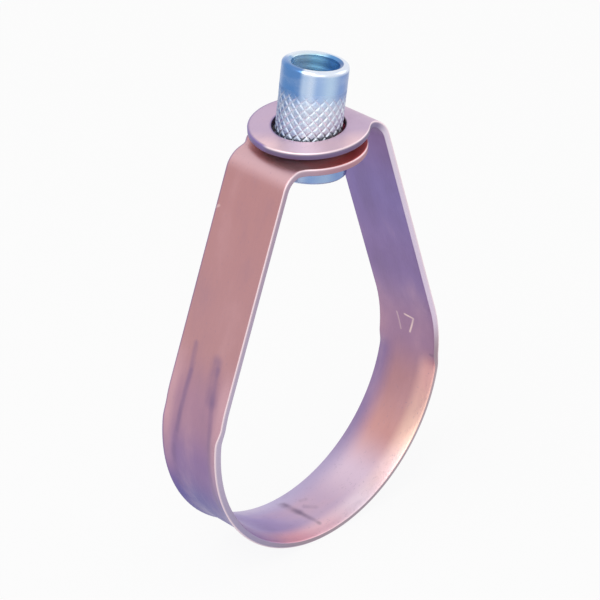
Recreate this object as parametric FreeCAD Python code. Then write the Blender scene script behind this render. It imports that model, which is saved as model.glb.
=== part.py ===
import FreeCAD, Part
import math
import os

"""Swivel loop hanger for a pipe: a bent strip with two overlapping eyes and a knurled nut.

Millimetres. X runs across the loop, Y along the pipe, Z up towards the hanging rod.
The origin is the centre of the pipe that the loop carries.
"""

V = FreeCAD.Vector
Z = V(0, 0, 1)

# Strip and loop
strip_width = 15.875
strip_thickness = 1.5
seat_radius = 30.35
eye_height = 59.75
upper_bend_radius = 7.1
lower_bend_radius = 5.0
upper_shoulder = 1.02
lower_shoulder = 1.01

# Flared edges of the seat: width and slope of each lip, plain degrees of arc under each leg
# before the lips begin, and degrees over which they rise to full slope
flare_width = 4.4
flare_angle = 21.0
right_flare_gap = 21.5
left_flare_gap = 7.7
flare_run = 7.0
flare_steps = 4

# Eyes
eye_radius = 11.95
eye_gap = 2.15
upper_eye_tilt = 3.25
lower_eye_tilt = 0.5
upper_neck_fillet = 6.5
lower_neck_fillet = 4.0

# Swivel nut, heights measured along its own axis from the top of the upper eye
nut_radius = 6.6
nut_lean = 7.25
nut_rise = 12.85
collar_length = 4.7
rim_round = 0.8
nut_play = 0.37
flange_radius = 8.3
flange_thickness = 2.9
flange_drop = 0.3
flange_chamfer = 0.5

# Threaded bore, as the cylinder at the crests of the thread
bore_radius = 3.99
mouth_radius = 5.15
mouth_depth = 1.0

# Diamond knurl
knurl_starts = 22
knurl_angle = 42.0
knurl_crest_drop = 0.04
knurl_depth = 0.6


def polar(radius, degrees):
    """Point (x, z) at a radius and an angle from +X."""
    a = math.radians(degrees)
    return V(radius * math.cos(a), 0, radius * math.sin(a))


def intersect(p, d, q, e):
    """Point where the line through p along d meets the line through q along e, in XZ."""
    det = e.x * d.z - d.x * e.z
    u = (e.x * (q.z - p.z) - e.z * (q.x - p.x)) / det
    return p + d * u


def leg_foot_angle(corner, sign):
    """Polar angle at which a leg that comes down from its top corner touches the outer arc."""
    outer = seat_radius + strip_thickness
    to_corner = math.degrees(math.atan2(corner.z, corner.x))
    return to_corner - sign * math.degrees(math.acos(outer / corner.Length))


class Side:
    """One half of the loop's path at a given depth under the outer face."""

    def __init__(self, sign, tilt, eye_top, shoulder, bend_radius, depth):
        outer = seat_radius + strip_thickness
        self.sign = sign
        self.along = V(math.cos(math.radians(tilt)), 0, math.sin(math.radians(tilt)))
        self.normal = V(-self.along.z, 0, self.along.x)
        top_corner = eye_top + self.along * sign * (eye_radius + shoulder)
        self.foot_angle = leg_foot_angle(top_corner, sign)
        self.foot = polar(outer - depth, self.foot_angle)
        self.up = polar(1, self.foot_angle + sign * 90)
        self.head = eye_top - self.normal * depth
        corner = intersect(self.head, self.along, self.foot, self.up)
        to_head = self.along * -sign
        to_foot = self.up * -1
        half = math.acos(to_head.dot(to_foot)) / 2
        radius = bend_radius - depth
        run = radius / math.tan(half)
        self.bend_head = corner + to_head * run
        self.bend_foot = corner + to_foot * run
        middle = (to_head + to_foot).normalize()
        centre = corner + middle * (radius / math.sin(half))
        self.bend_mid = centre - middle * radius

    def tip(self):
        """End of the tab, past the far edge of the eye."""
        return self.head - self.along * self.sign * (eye_radius + strip_thickness / 2)

    def flare_end(self):
        """Polar angle at which the flared edges begin under the leg."""
        gap = right_flare_gap if self.sign > 0 else left_flare_gap
        return self.foot_angle - self.sign * gap


def on_nut_axis(z):
    """Point of the nut's axis at a height z above the top of the upper eye."""
    return V(z * math.tan(math.radians(nut_lean)), 0, eye_height + z)


def upper_eye_top():
    """Centre of the upper eye's top face, at the height where the axis meets its middle."""
    middle = on_nut_axis(-strip_thickness / 2)
    return V(middle.x, 0, eye_height)


def lower_eye_top():
    """Centre of the lower eye's top face."""
    middle = on_nut_axis(-1.5 * strip_thickness - eye_gap)
    return V(middle.x, 0, eye_height - strip_thickness - eye_gap)


def eye_hole_radius():
    """Smallest hole that clears the leaning nut by the play all round."""
    a = math.radians(nut_lean + max(abs(upper_eye_tilt), abs(lower_eye_tilt)))
    return nut_radius / math.cos(a) + strip_thickness / 2 * math.sin(a) + nut_play


def loop_side(sign, depth):
    """The right side with the upper eye, or the left side with the lower eye."""
    if sign > 0:
        return Side(sign, upper_eye_tilt, upper_eye_top(), upper_shoulder, upper_bend_radius, depth)
    return Side(sign, lower_eye_tilt, lower_eye_top(), lower_shoulder, lower_bend_radius, depth)


def half_path(sign, depth):
    """Edges from the tip of one eye down to the flared part of the seat, with their two ends."""
    side = loop_side(sign, depth)
    radius = seat_radius + strip_thickness - depth
    middle = polar(radius, (side.foot_angle + side.flare_end()) / 2)
    end = polar(radius, side.flare_end())
    edges = [
        Part.makeLine(side.tip(), side.bend_head),
        Part.Arc(side.bend_head, side.bend_mid, side.bend_foot).toShape(),
        Part.makeLine(side.bend_foot, side.foot),
        Part.Arc(side.foot, middle, end).toShape(),
    ]
    return edges, side.tip(), end


def half_sheet(sign):
    """One half of the bent sheet before its outline is cut, as wide as the eye."""
    outer, outer_tip, outer_end = half_path(sign, 0)
    inner, inner_tip, inner_end = half_path(sign, strip_thickness)
    ends = [Part.makeLine(outer_tip, inner_tip), Part.makeLine(outer_end, inner_end)]
    outline = Part.Wire(Part.__sortEdges__(outer + inner + ends))
    width = 2 * eye_radius + strip_thickness
    sheet = Part.Face(outline).extrude(V(0, width, 0))
    sheet.translate(V(0, -width / 2, 0))
    return sheet


def plan_outline(centre_x, sign):
    """Plan of one eye and the strip that runs from it towards sign, as one face at z = 0."""
    neck_fillet = upper_neck_fillet if sign > 0 else lower_neck_fillet
    half = strip_width / 2
    reach = seat_radius + strip_thickness + strip_width
    swing = eye_radius + neck_fillet
    dx = math.sqrt(swing ** 2 - (half + neck_fillet) ** 2)
    a = math.atan2(half + neck_fillet, dx)
    touch = V(eye_radius * math.cos(a), eye_radius * math.sin(a), 0)
    fillet = V(dx, half + neck_fillet, 0)
    halfway = math.radians(225) + a / 2
    dip = fillet + V(math.cos(halfway), math.sin(halfway), 0) * neck_fillet
    land = V(dx, half, 0)
    end = V(reach, half, 0)
    upper = [
        Part.Arc(V(-eye_radius, 0, 0), V(0, eye_radius, 0), touch).toShape(),
        Part.Arc(touch, dip, land).toShape(),
        Part.makeLine(land, end),
    ]
    lower = [edge.mirror(V(0, 0, 0), V(0, 1, 0)) for edge in upper]
    close = Part.makeLine(end, V(reach, -half, 0))
    face = Part.Face(Part.Wire(Part.__sortEdges__(upper + lower + [close])))
    if sign < 0:
        face = face.mirror(V(0, 0, 0), V(1, 0, 0))
    face.translate(V(centre_x, 0, 0))
    return face


def plan_prism(sign, bottom, top):
    """Upright prism of one eye's plan between two heights."""
    centre = upper_eye_top() if sign > 0 else lower_eye_top()
    prism = plan_outline(centre.x, sign).extrude(Z * (top - bottom))
    prism.translate(Z * bottom)
    return prism


def strip_prism(sign, bottom, top):
    """Upright prism as wide as the strip on one side of the loop."""
    reach = seat_radius + strip_thickness + strip_width
    corner = V(0 if sign > 0 else -reach, -strip_width / 2, bottom)
    return Part.makeBox(reach, strip_width, top - bottom, corner)


def eye_hole(eye_top, tilt):
    """Drill through one eye, square to its face."""
    radius = eye_hole_radius()
    normal = V(-math.sin(math.radians(tilt)), 0, math.cos(math.radians(tilt)))
    deep = strip_thickness + eye_gap
    return Part.makeCylinder(radius, deep, eye_top - normal * (deep - eye_gap / 2), normal)


def loop_half(sign):
    """One half of the loop, cut to the eye's plan above the knee and to the strip below it."""
    knee = eye_height - 3 * strip_thickness - 2 * eye_gap
    top = eye_height + strip_width
    low = -(seat_radius + 2 * strip_thickness)
    plan = plan_prism(sign, knee, top).fuse(strip_prism(sign, low, knee))
    return half_sheet(sign).common(plan)


def lip_edge(angle, lip, depth, y_sign):
    """Edge of one lip on the face at a given depth, from the flat middle to the strip's edge."""
    base = seat_radius + strip_thickness - depth
    flat = strip_width / 2 - flare_width
    if lip == 0:
        inside = polar(base, angle) + V(0, y_sign * flat, 0)
        corner = polar(base, angle) + V(0, y_sign * strip_width / 2, 0)
        return Part.makeLine(inside, corner), inside, corner
    radius = flare_width / math.radians(lip) - strip_thickness / 2 + depth
    points = []
    for share in (0, 0.5, 1):
        turn = math.radians(lip) * share
        lift = radius * (1 - math.cos(turn))
        y = flat + radius * math.sin(turn)
        points.append(polar(base + lift, angle) + V(0, y_sign * y, 0))
    return Part.Arc(*points).toShape(), points[0], points[2]


def seat_section(angle, lip):
    """Closed section of the strip at a polar angle, with lips of the given slope in degrees."""
    edges = []
    corners = []
    for depth, y_sign in ((0, 1), (strip_thickness, 1), (strip_thickness, -1), (0, -1)):
        edge, inside, corner = lip_edge(angle, lip, depth, y_sign)
        edges.append(edge)
        corners.append((inside, corner))
    outer_right, inner_right, inner_left, outer_left = corners
    edges.append(Part.makeLine(outer_right[1], inner_right[1]))
    edges.append(Part.makeLine(inner_right[0], inner_left[0]))
    edges.append(Part.makeLine(inner_left[1], outer_left[1]))
    edges.append(Part.makeLine(outer_left[0], outer_right[0]))
    return Part.Wire(Part.__sortEdges__(edges))


def flare_rise(sign):
    """Short piece of the seat in which the lips rise from flat to their full slope."""
    start = loop_side(sign, 0).flare_end()
    sections = []
    for step in range(flare_steps + 1):
        share = step / flare_steps
        lip = flare_angle * share * share * (3 - 2 * share)
        sections.append(seat_section(start - sign * flare_run * share, lip))
    return Part.makeLoft(sections, True, True)


def flared_seat():
    """The seat between the two rises, with both edges flared away from the pipe."""
    right = loop_side(1, 0).flare_end() - flare_run
    left = loop_side(-1, 0).flare_end() + flare_run
    face = Part.Face(seat_section(right, flare_angle))
    return face.revolve(V(0, 0, 0), V(0, 1, 0), 360 + right - left)


def loop_band():
    """The bent strip with its two eyes, drilled for the nut."""
    seat = [flare_rise(1), flared_seat(), flare_rise(-1), loop_half(-1)]
    band = loop_half(1).fuse(seat).removeSplitter()
    band = band.cut(eye_hole(upper_eye_top(), upper_eye_tilt))
    band = band.cut(eye_hole(lower_eye_top(), lower_eye_tilt))
    return band.removeSplitter().Solids[0]


def flange_top():
    """Height along the nut's axis at which the leaning flange just clears the lower eye."""
    a = math.radians(nut_lean + lower_eye_tilt)
    under = (2 * strip_thickness + eye_gap) / math.cos(math.radians(nut_lean))
    return -(under + flange_radius * math.tan(a) + flange_drop)


def knurl_rows():
    """Number of half-diamond rows and their height between the flange and the collar."""
    span = nut_rise - collar_length - flange_top()
    pitch = 2 * math.pi * nut_radius / knurl_starts
    wanted = pitch / 2 / math.tan(math.radians(knurl_angle))
    rows = max(2, round(span / wanted))
    return rows, span / rows


def knurl_point(row, column, height):
    """Lattice point of the knurl: a pyramid's tip or a crossing of two grooves."""
    crest = nut_radius - knurl_crest_drop
    radius = crest if (row + column) % 2 == 0 else crest - knurl_depth
    a = math.pi * column / knurl_starts
    return V(radius * math.cos(a), radius * math.sin(a), flange_top() + row * height)


def triangle(a, b, c):
    """Flat face with three corners."""
    return Part.Face(Part.makePolygon([a, b, c, a]))


def knurl_faces():
    """Four flat flanks for every diamond, two for those cut by an end."""
    rows, height = knurl_rows()
    faces = []
    for row in range(rows + 1):
        for column in range(row % 2, 2 * knurl_starts, 2):
            tip = knurl_point(row, column, height)
            left = knurl_point(row, column - 1, height)
            right = knurl_point(row, column + 1, height)
            if row < rows:
                above = knurl_point(row + 1, column, height)
                faces.append(triangle(tip, right, above))
                faces.append(triangle(tip, above, left))
            if row > 0:
                below = knurl_point(row - 1, column, height)
                faces.append(triangle(tip, left, below))
                faces.append(triangle(tip, below, right))
    return faces


def knurl_end(row, radius):
    """Flat ring between the knurl's toothed end and a circle of the given radius."""
    height = knurl_rows()[1]
    corners = [knurl_point(row, column, height) for column in range(2 * knurl_starts)]
    toothed = Part.makePolygon(corners + corners[:1])
    circle = Part.Wire(Part.makeCircle(radius, V(0, 0, corners[0].z), Z))
    return Part.Face([circle, toothed])


def nut_profile():
    """Half section of the nut from the collar's foot over the rim and bore to the flange."""
    collar_foot = nut_rise - collar_length
    top = flange_top()
    base = top - flange_thickness
    rim = V(nut_radius - rim_round, 0, nut_rise - rim_round)
    points = [
        V(mouth_radius, 0, nut_rise),
        V(bore_radius, 0, nut_rise - mouth_depth),
        V(bore_radius, 0, base + mouth_depth / 2),
        V(bore_radius + mouth_depth / 2, 0, base),
        V(flange_radius - flange_chamfer, 0, base),
        V(flange_radius, 0, base + flange_chamfer),
        V(flange_radius, 0, top),
    ]
    edges = [Part.makeLine(V(nut_radius, 0, collar_foot), V(nut_radius, 0, rim.z))]
    bulge = rim + V(1, 0, 1).normalize() * rim_round
    edges.append(Part.Arc(V(nut_radius, 0, rim.z), bulge, V(rim.x, 0, nut_rise)).toShape())
    edges.append(Part.makeLine(V(rim.x, 0, nut_rise), points[0]))
    edges += [Part.makeLine(p, q) for p, q in zip(points, points[1:])]
    return Part.Wire(edges)


def swivel_nut():
    """Hollow nut with a collar, a diamond knurl and a flange, leaning in the eyes."""
    turned = nut_profile().revolve(V(0, 0, 0), Z, 360)
    faces = knurl_faces() + turned.Faces
    faces.append(knurl_end(knurl_rows()[0], nut_radius))
    faces.append(knurl_end(0, flange_radius))
    shell = Part.makeCompound(faces)
    shell.sewShape()
    nut = Part.makeSolid(shell.Shells[0])
    if nut.Volume < 0:
        nut.reverse()
    nut.rotate(V(0, 0, 0), V(0, 1, 0), nut_lean)
    nut.translate(on_nut_axis(0))
    return nut


def main():
    """Write each piece to its own file."""
    os.makedirs("parts", exist_ok=True)
    for name, shape in (("loop_band", loop_band()), ("swivel_nut", swivel_nut())):
        shape.exportStep("parts/" + name + ".step")


main()
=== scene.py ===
"""Looks of the swivel loop hanger: a bent, copper-plated strip that turns on a knurled zinc-plated nut.

Sizes and surface functions are in millimetres, meshes in metres. The frame is the part's own: the origin
is the centre of the pipe, Y runs along the pipe, Z points up to the hanging rod, and X points to the leg
that carries the upper eye.
"""

import enum
import logging
import math
from collections.abc import Sequence
from dataclasses import dataclass, field
from functools import cached_property, reduce

import bmesh
import bpy
import numpy as np
from mathutils import Matrix, Vector

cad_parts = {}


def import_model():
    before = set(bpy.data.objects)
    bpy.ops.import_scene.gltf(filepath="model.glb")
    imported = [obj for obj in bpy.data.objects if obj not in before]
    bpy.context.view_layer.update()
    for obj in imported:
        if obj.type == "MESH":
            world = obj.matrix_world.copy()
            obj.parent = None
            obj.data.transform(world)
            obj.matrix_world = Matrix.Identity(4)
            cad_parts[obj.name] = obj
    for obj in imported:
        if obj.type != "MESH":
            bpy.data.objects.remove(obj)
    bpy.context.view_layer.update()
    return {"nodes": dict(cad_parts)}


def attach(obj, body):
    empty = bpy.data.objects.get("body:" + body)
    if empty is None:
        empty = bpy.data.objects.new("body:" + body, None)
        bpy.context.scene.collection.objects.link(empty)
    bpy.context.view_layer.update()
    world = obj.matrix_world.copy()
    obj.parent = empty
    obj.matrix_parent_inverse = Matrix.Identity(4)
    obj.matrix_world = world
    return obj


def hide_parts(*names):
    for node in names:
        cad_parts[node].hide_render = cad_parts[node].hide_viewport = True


LOG = logging.getLogger("hanger")
MM = 0.001
CM = 10.0
TINY = 1e-6
Colour = tuple[float, float, float]
Line = tuple[tuple[float, float], ...]
Fade = tuple[float, ...]
Pattern = tuple[Colour, float, float]
Stops = tuple[tuple[float, Colour], ...]
Socket = bpy.types.NodeSocket


class Body(enum.Enum):
    """Moving bodies of the part."""

    LOOP = "loop"
    NUT = "nut"


class Slot(enum.Enum):
    """Finishes named in the part's record."""

    COPPER = "copper_plate"
    ZINC = "zinc_plate"


def srgb(red: int, green: int, blue: int) -> Colour:
    """Linear colour of a screen colour from 0 to 255, each channel by the standard curve."""
    channels = [c / 255 for c in (red, green, blue)]
    return tuple(c / 12.92 if c <= 0.04045 else ((c + 0.055) / 1.055) ** 2.4 for c in channels)


def stops(*rows: tuple[float, int, int, int]) -> Stops:
    """Stops of a ramp, each from its place and its screen colour."""
    return tuple((row[0], srgb(*row[1:])) for row in rows)


def ray(angle: np.ndarray) -> np.ndarray:
    """Unit vectors at these angles: cosine, then sine."""
    return np.stack([np.cos(angle), np.sin(angle)], axis=-1)


def left_of(angle: np.ndarray) -> np.ndarray:
    """Unit vectors a quarter turn to the left of these angles: minus sine, then cosine."""
    return np.stack([-np.sin(angle), np.cos(angle)], axis=-1)


def steps(marks: Sequence[float], counts: Sequence[int]) -> np.ndarray:
    """Values that run through the marks, with a given number of equal steps between each two."""
    parts = [np.linspace(a, b, n, endpoint=False) for a, b, n in zip(marks, marks[1:], counts)]
    return np.concatenate(parts + [np.array([marks[-1]])])


def grid_faces(rows: int, columns: int, close_rows: bool, close_columns: bool) -> np.ndarray:
    """Quads between neighbours of a grid that is numbered row by row.

    Args:
        rows, columns: Size of the grid.
        close_rows: Whether the last row joins the first.
        close_columns: Whether the last column joins the first.

    Returns:
        Four point numbers for each face.
    """
    r = np.arange(rows if close_rows else rows - 1)[:, None]
    c = np.arange(columns if close_columns else columns - 1)[None, :]
    below, beside = (r + 1) % rows, (c + 1) % columns
    corners = [r * columns + c, r * columns + beside, below * columns + beside, below * columns + c]
    return np.stack([np.broadcast_to(k, (r.size, c.size)) for k in corners], axis=-1).reshape(-1, 4)


class Surface:
    """Patches of points and faces that are welded where their points meet.

    Points are compared by whole keys. A small shift keeps round values off the border of two keys.
    """

    keys_per_mm = 1e4
    key_shift = 0.0000371

    def __init__(self) -> None:
        """Start with no patch."""
        self.points: list[np.ndarray] = []
        self.faces: list[np.ndarray] = []
        self.count = 0

    def add(self, points: np.ndarray, close_rows: bool = False, close_columns: bool = False) -> None:
        """Take in a grid of points.

        Args:
            points: Array of rows by columns by three.
            close_rows: Whether the last row joins the first.
            close_columns: Whether the last column joins the first.
        """
        rows, columns = points.shape[:2]
        self.faces.append(grid_faces(rows, columns, close_rows, close_columns) + self.count)
        self.points.append(points.reshape(-1, 3))
        self.count += rows * columns

    def welded(self) -> tuple[np.ndarray, np.ndarray]:
        """Points and quads, with points of one key taken as one.

        Returns:
            The points, and four point numbers for each face.
        """
        points = np.concatenate(self.points)
        keys = np.round((points + self.key_shift) * self.keys_per_mm).astype(np.int64)
        _, first, number = np.unique(keys, axis=0, return_index=True, return_inverse=True)
        return points[first], number.reshape(-1)[np.concatenate(self.faces)]


def make_object(name: str, points: np.ndarray, faces: list[list[int]]) -> bpy.types.Object:
    """Closed, smooth-shaded mesh object at the origin, with its faces turned outwards.

    Args:
        name: Name of the piece.
        points: Points in millimetres.
        faces: Point numbers, three or four for each face.

    Returns:
        The linked object.
    """
    mesh = bpy.data.meshes.new(name)
    mesh.from_pydata((points * MM).tolist(), [], faces)
    build = bmesh.new()
    build.from_mesh(mesh)
    bmesh.ops.recalc_face_normals(build, faces=build.faces)
    build.to_mesh(mesh)
    build.free()
    mesh.polygons.foreach_set("use_smooth", np.ones(len(mesh.polygons), dtype=bool))
    mesh.update()
    piece = bpy.data.objects.new(name, mesh)
    bpy.context.scene.collection.objects.link(piece)
    return piece


def store(piece: bpy.types.Object, name: str, values: np.ndarray) -> None:
    """Keep one number or one vector for each point of a piece under a name that a material can read."""
    kind, field_name = ("FLOAT_VECTOR", "vector") if values.ndim == 2 else ("FLOAT", "value")
    layer = piece.data.attributes.new(name, kind, "POINT")
    layer.data.foreach_set(field_name, values.astype(np.float32).ravel())


@dataclass(frozen=True)
class Shoulder:
    """How one leg leaves its eye.

    Args:
        side: 1 for the leg on +X, -1 for the other.
        tilt: Slope of the eye in degrees.
        past_eye: Distance from the eye's rim to the corner of eye and leg.
        bend_radius: Radius of the outer face in the bend.
        depth: Depth of the eye's top under the top of the upper eye.
        drift: Place of the eye's centre along X.
        fillet: Radius of the fillets between eye and strip.
        plain: Degrees of the seat under the leg before its edges flare.
    """

    side: int
    tilt: float
    past_eye: float
    bend_radius: float
    depth: float
    drift: float
    fillet: float
    plain: float


@dataclass
class StripPath:
    """Outer face of the strip as one line in XZ, from the upper eye's centre to the lower eye's.

    It is straight over each eye, bends down into the leg, runs straight to the round seat and along it.
    """

    seat_radius: float = 30.35
    thickness: float = 1.5
    width: float = 15.875
    eye_height: float = 59.75
    eye_radius: float = 11.95
    upper: Shoulder = Shoulder(
        side=1, tilt=3.25, past_eye=1.02, bend_radius=7.1, depth=0.0, drift=-0.095410, fillet=6.5, plain=21.5
    )
    lower: Shoulder = Shoulder(
        side=-1, tilt=0.5, past_eye=1.01, bend_radius=5.0, depth=3.65, drift=-0.559737, fillet=4.0, plain=7.7
    )
    lip_width: float = 4.4
    lip_slope: float = math.radians(21.0)
    lip_run: float = 7.0

    def _corner(self, end: Shoulder) -> tuple[np.ndarray, ...]:
        """Points at which one shoulder's runs meet.

        Args:
            end: The shoulder.

        Returns:
            Eye's centre, start of the bend, end of the bend and foot of the leg.
        """
        outer = self.seat_radius + self.thickness
        along = ray(np.radians(end.tilt)) * end.side
        eye = np.array([end.drift, self.eye_height - end.depth])
        corner = eye + along * (self.eye_radius + end.past_eye)
        angle = math.atan2(corner[1], corner[0]) - end.side * math.acos(outer / np.hypot(*corner))
        foot = outer * ray(np.array(angle))
        down = -ray(np.array(angle + end.side * math.pi / 2))
        half = math.acos(float(-along @ down)) / 2
        run = end.bend_radius / math.tan(half)
        return eye, corner - along * run, corner + down * run, foot

    @cached_property
    def runs(self) -> dict[str, np.ndarray]:
        """Start, heading, curvature and length of each straight or round run, in order."""
        outer = self.seat_radius + self.thickness
        right, left = self._corner(self.upper), self._corner(self.lower)
        points = np.array([*right, *left[::-1]])
        curves = np.array([0, 1 / self.upper.bend_radius, 0, 1 / outer, 0, 1 / self.lower.bend_radius, 0])
        heads = [points[i + 1] - points[i] for i in (0, 2, 4, 6)]
        angles = np.array([math.atan2(h[1], h[0]) for h in heads])
        turns = np.mod(angles[:-1] - angles[1:], 2 * math.pi)
        spans = np.hypot(*np.array(heads).T)
        lengths = np.zeros(7)
        lengths[0::2] = spans
        lengths[1::2] = turns / curves[1::2]
        heading = angles[0] - np.concatenate([[0], np.cumsum(lengths * curves)[:-1]])
        starts = np.concatenate([[0], np.cumsum(lengths)])
        return {"points": points[:7], "heading": heading, "curve": curves, "start": starts}

    @property
    def length(self) -> float:
        """Length along the outer face from one eye's centre to the other's."""
        return float(self.runs["start"][-1])

    def along(self, s: np.ndarray) -> tuple[np.ndarray, np.ndarray]:
        """Points and outward normals at distances along the outer face.

        A straight run goes from its start along its heading. A round run, always to the right, goes from
        its start by the change of the outward normal over the curvature.

        Args:
            s: Distances from the upper eye's centre.

        Returns:
            Points and normals in XZ.
        """
        runs = self.runs
        i = np.clip(np.searchsorted(runs["start"][1:-1], s, side="right"), 0, 6)
        ds = s - runs["start"][i]
        first, curve = runs["heading"][i], runs["curve"][i]
        now = first - curve * ds
        straight = ray(first) * ds[..., None]
        safe = np.where(curve > 0, curve, 1.0)[..., None]
        bent = (left_of(now) - left_of(first)) / safe
        return runs["points"][i] + np.where(curve[..., None] > 0, bent, straight), left_of(now)

    def flare(self, s: np.ndarray) -> np.ndarray:
        """Slope of the strip's edges: zero but for the seat, with a smooth rise at each end of it.

        Args:
            s: Distances from the upper eye's centre.

        Returns:
            Slopes in radians.
        """
        degree = math.radians(1) * (self.seat_radius + self.thickness)
        first = self.runs["start"][3] + self.upper.plain * degree
        last = self.runs["start"][4] - self.lower.plain * degree
        share = np.clip(np.minimum(s - first, last - s) / (self.lip_run * degree), 0, 1)
        return self.lip_slope * share * share * (3 - 2 * share)

    def space(self, flat: np.ndarray) -> np.ndarray:
        """Points of the bent strip from points of the flat one.

        A lip is an arc across the strip that starts level and ends at its slope, with its centre on the
        outer side. A point over the lip turns by its share of the slope about that centre.

        Args:
            flat: Distance along the strip, distance across it and height over the outer face.

        Returns:
            Points in X, Y and Z: the place on the line, plus the height times the outward normal.
        """
        point, normal = self.along(flat[..., 0])
        middle = flat[..., 2] + self.thickness / 2
        over = np.maximum(np.abs(flat[..., 1]) - (self.width / 2 - self.lip_width), 0)
        turn = self.flare(flat[..., 0]) * over / self.lip_width
        safe = np.maximum(turn, TINY)
        pull = over * (1 - np.sin(safe) / safe) + middle * np.sin(turn)
        lift = over * (1 - np.cos(safe)) / safe - middle * (1 - np.cos(turn))
        spot = point + normal * (flat[..., 2] + lift)[..., None]
        return np.stack([spot[..., 0], flat[..., 1] - np.sign(flat[..., 1]) * pull, spot[..., 1]], axis=-1)


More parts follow.
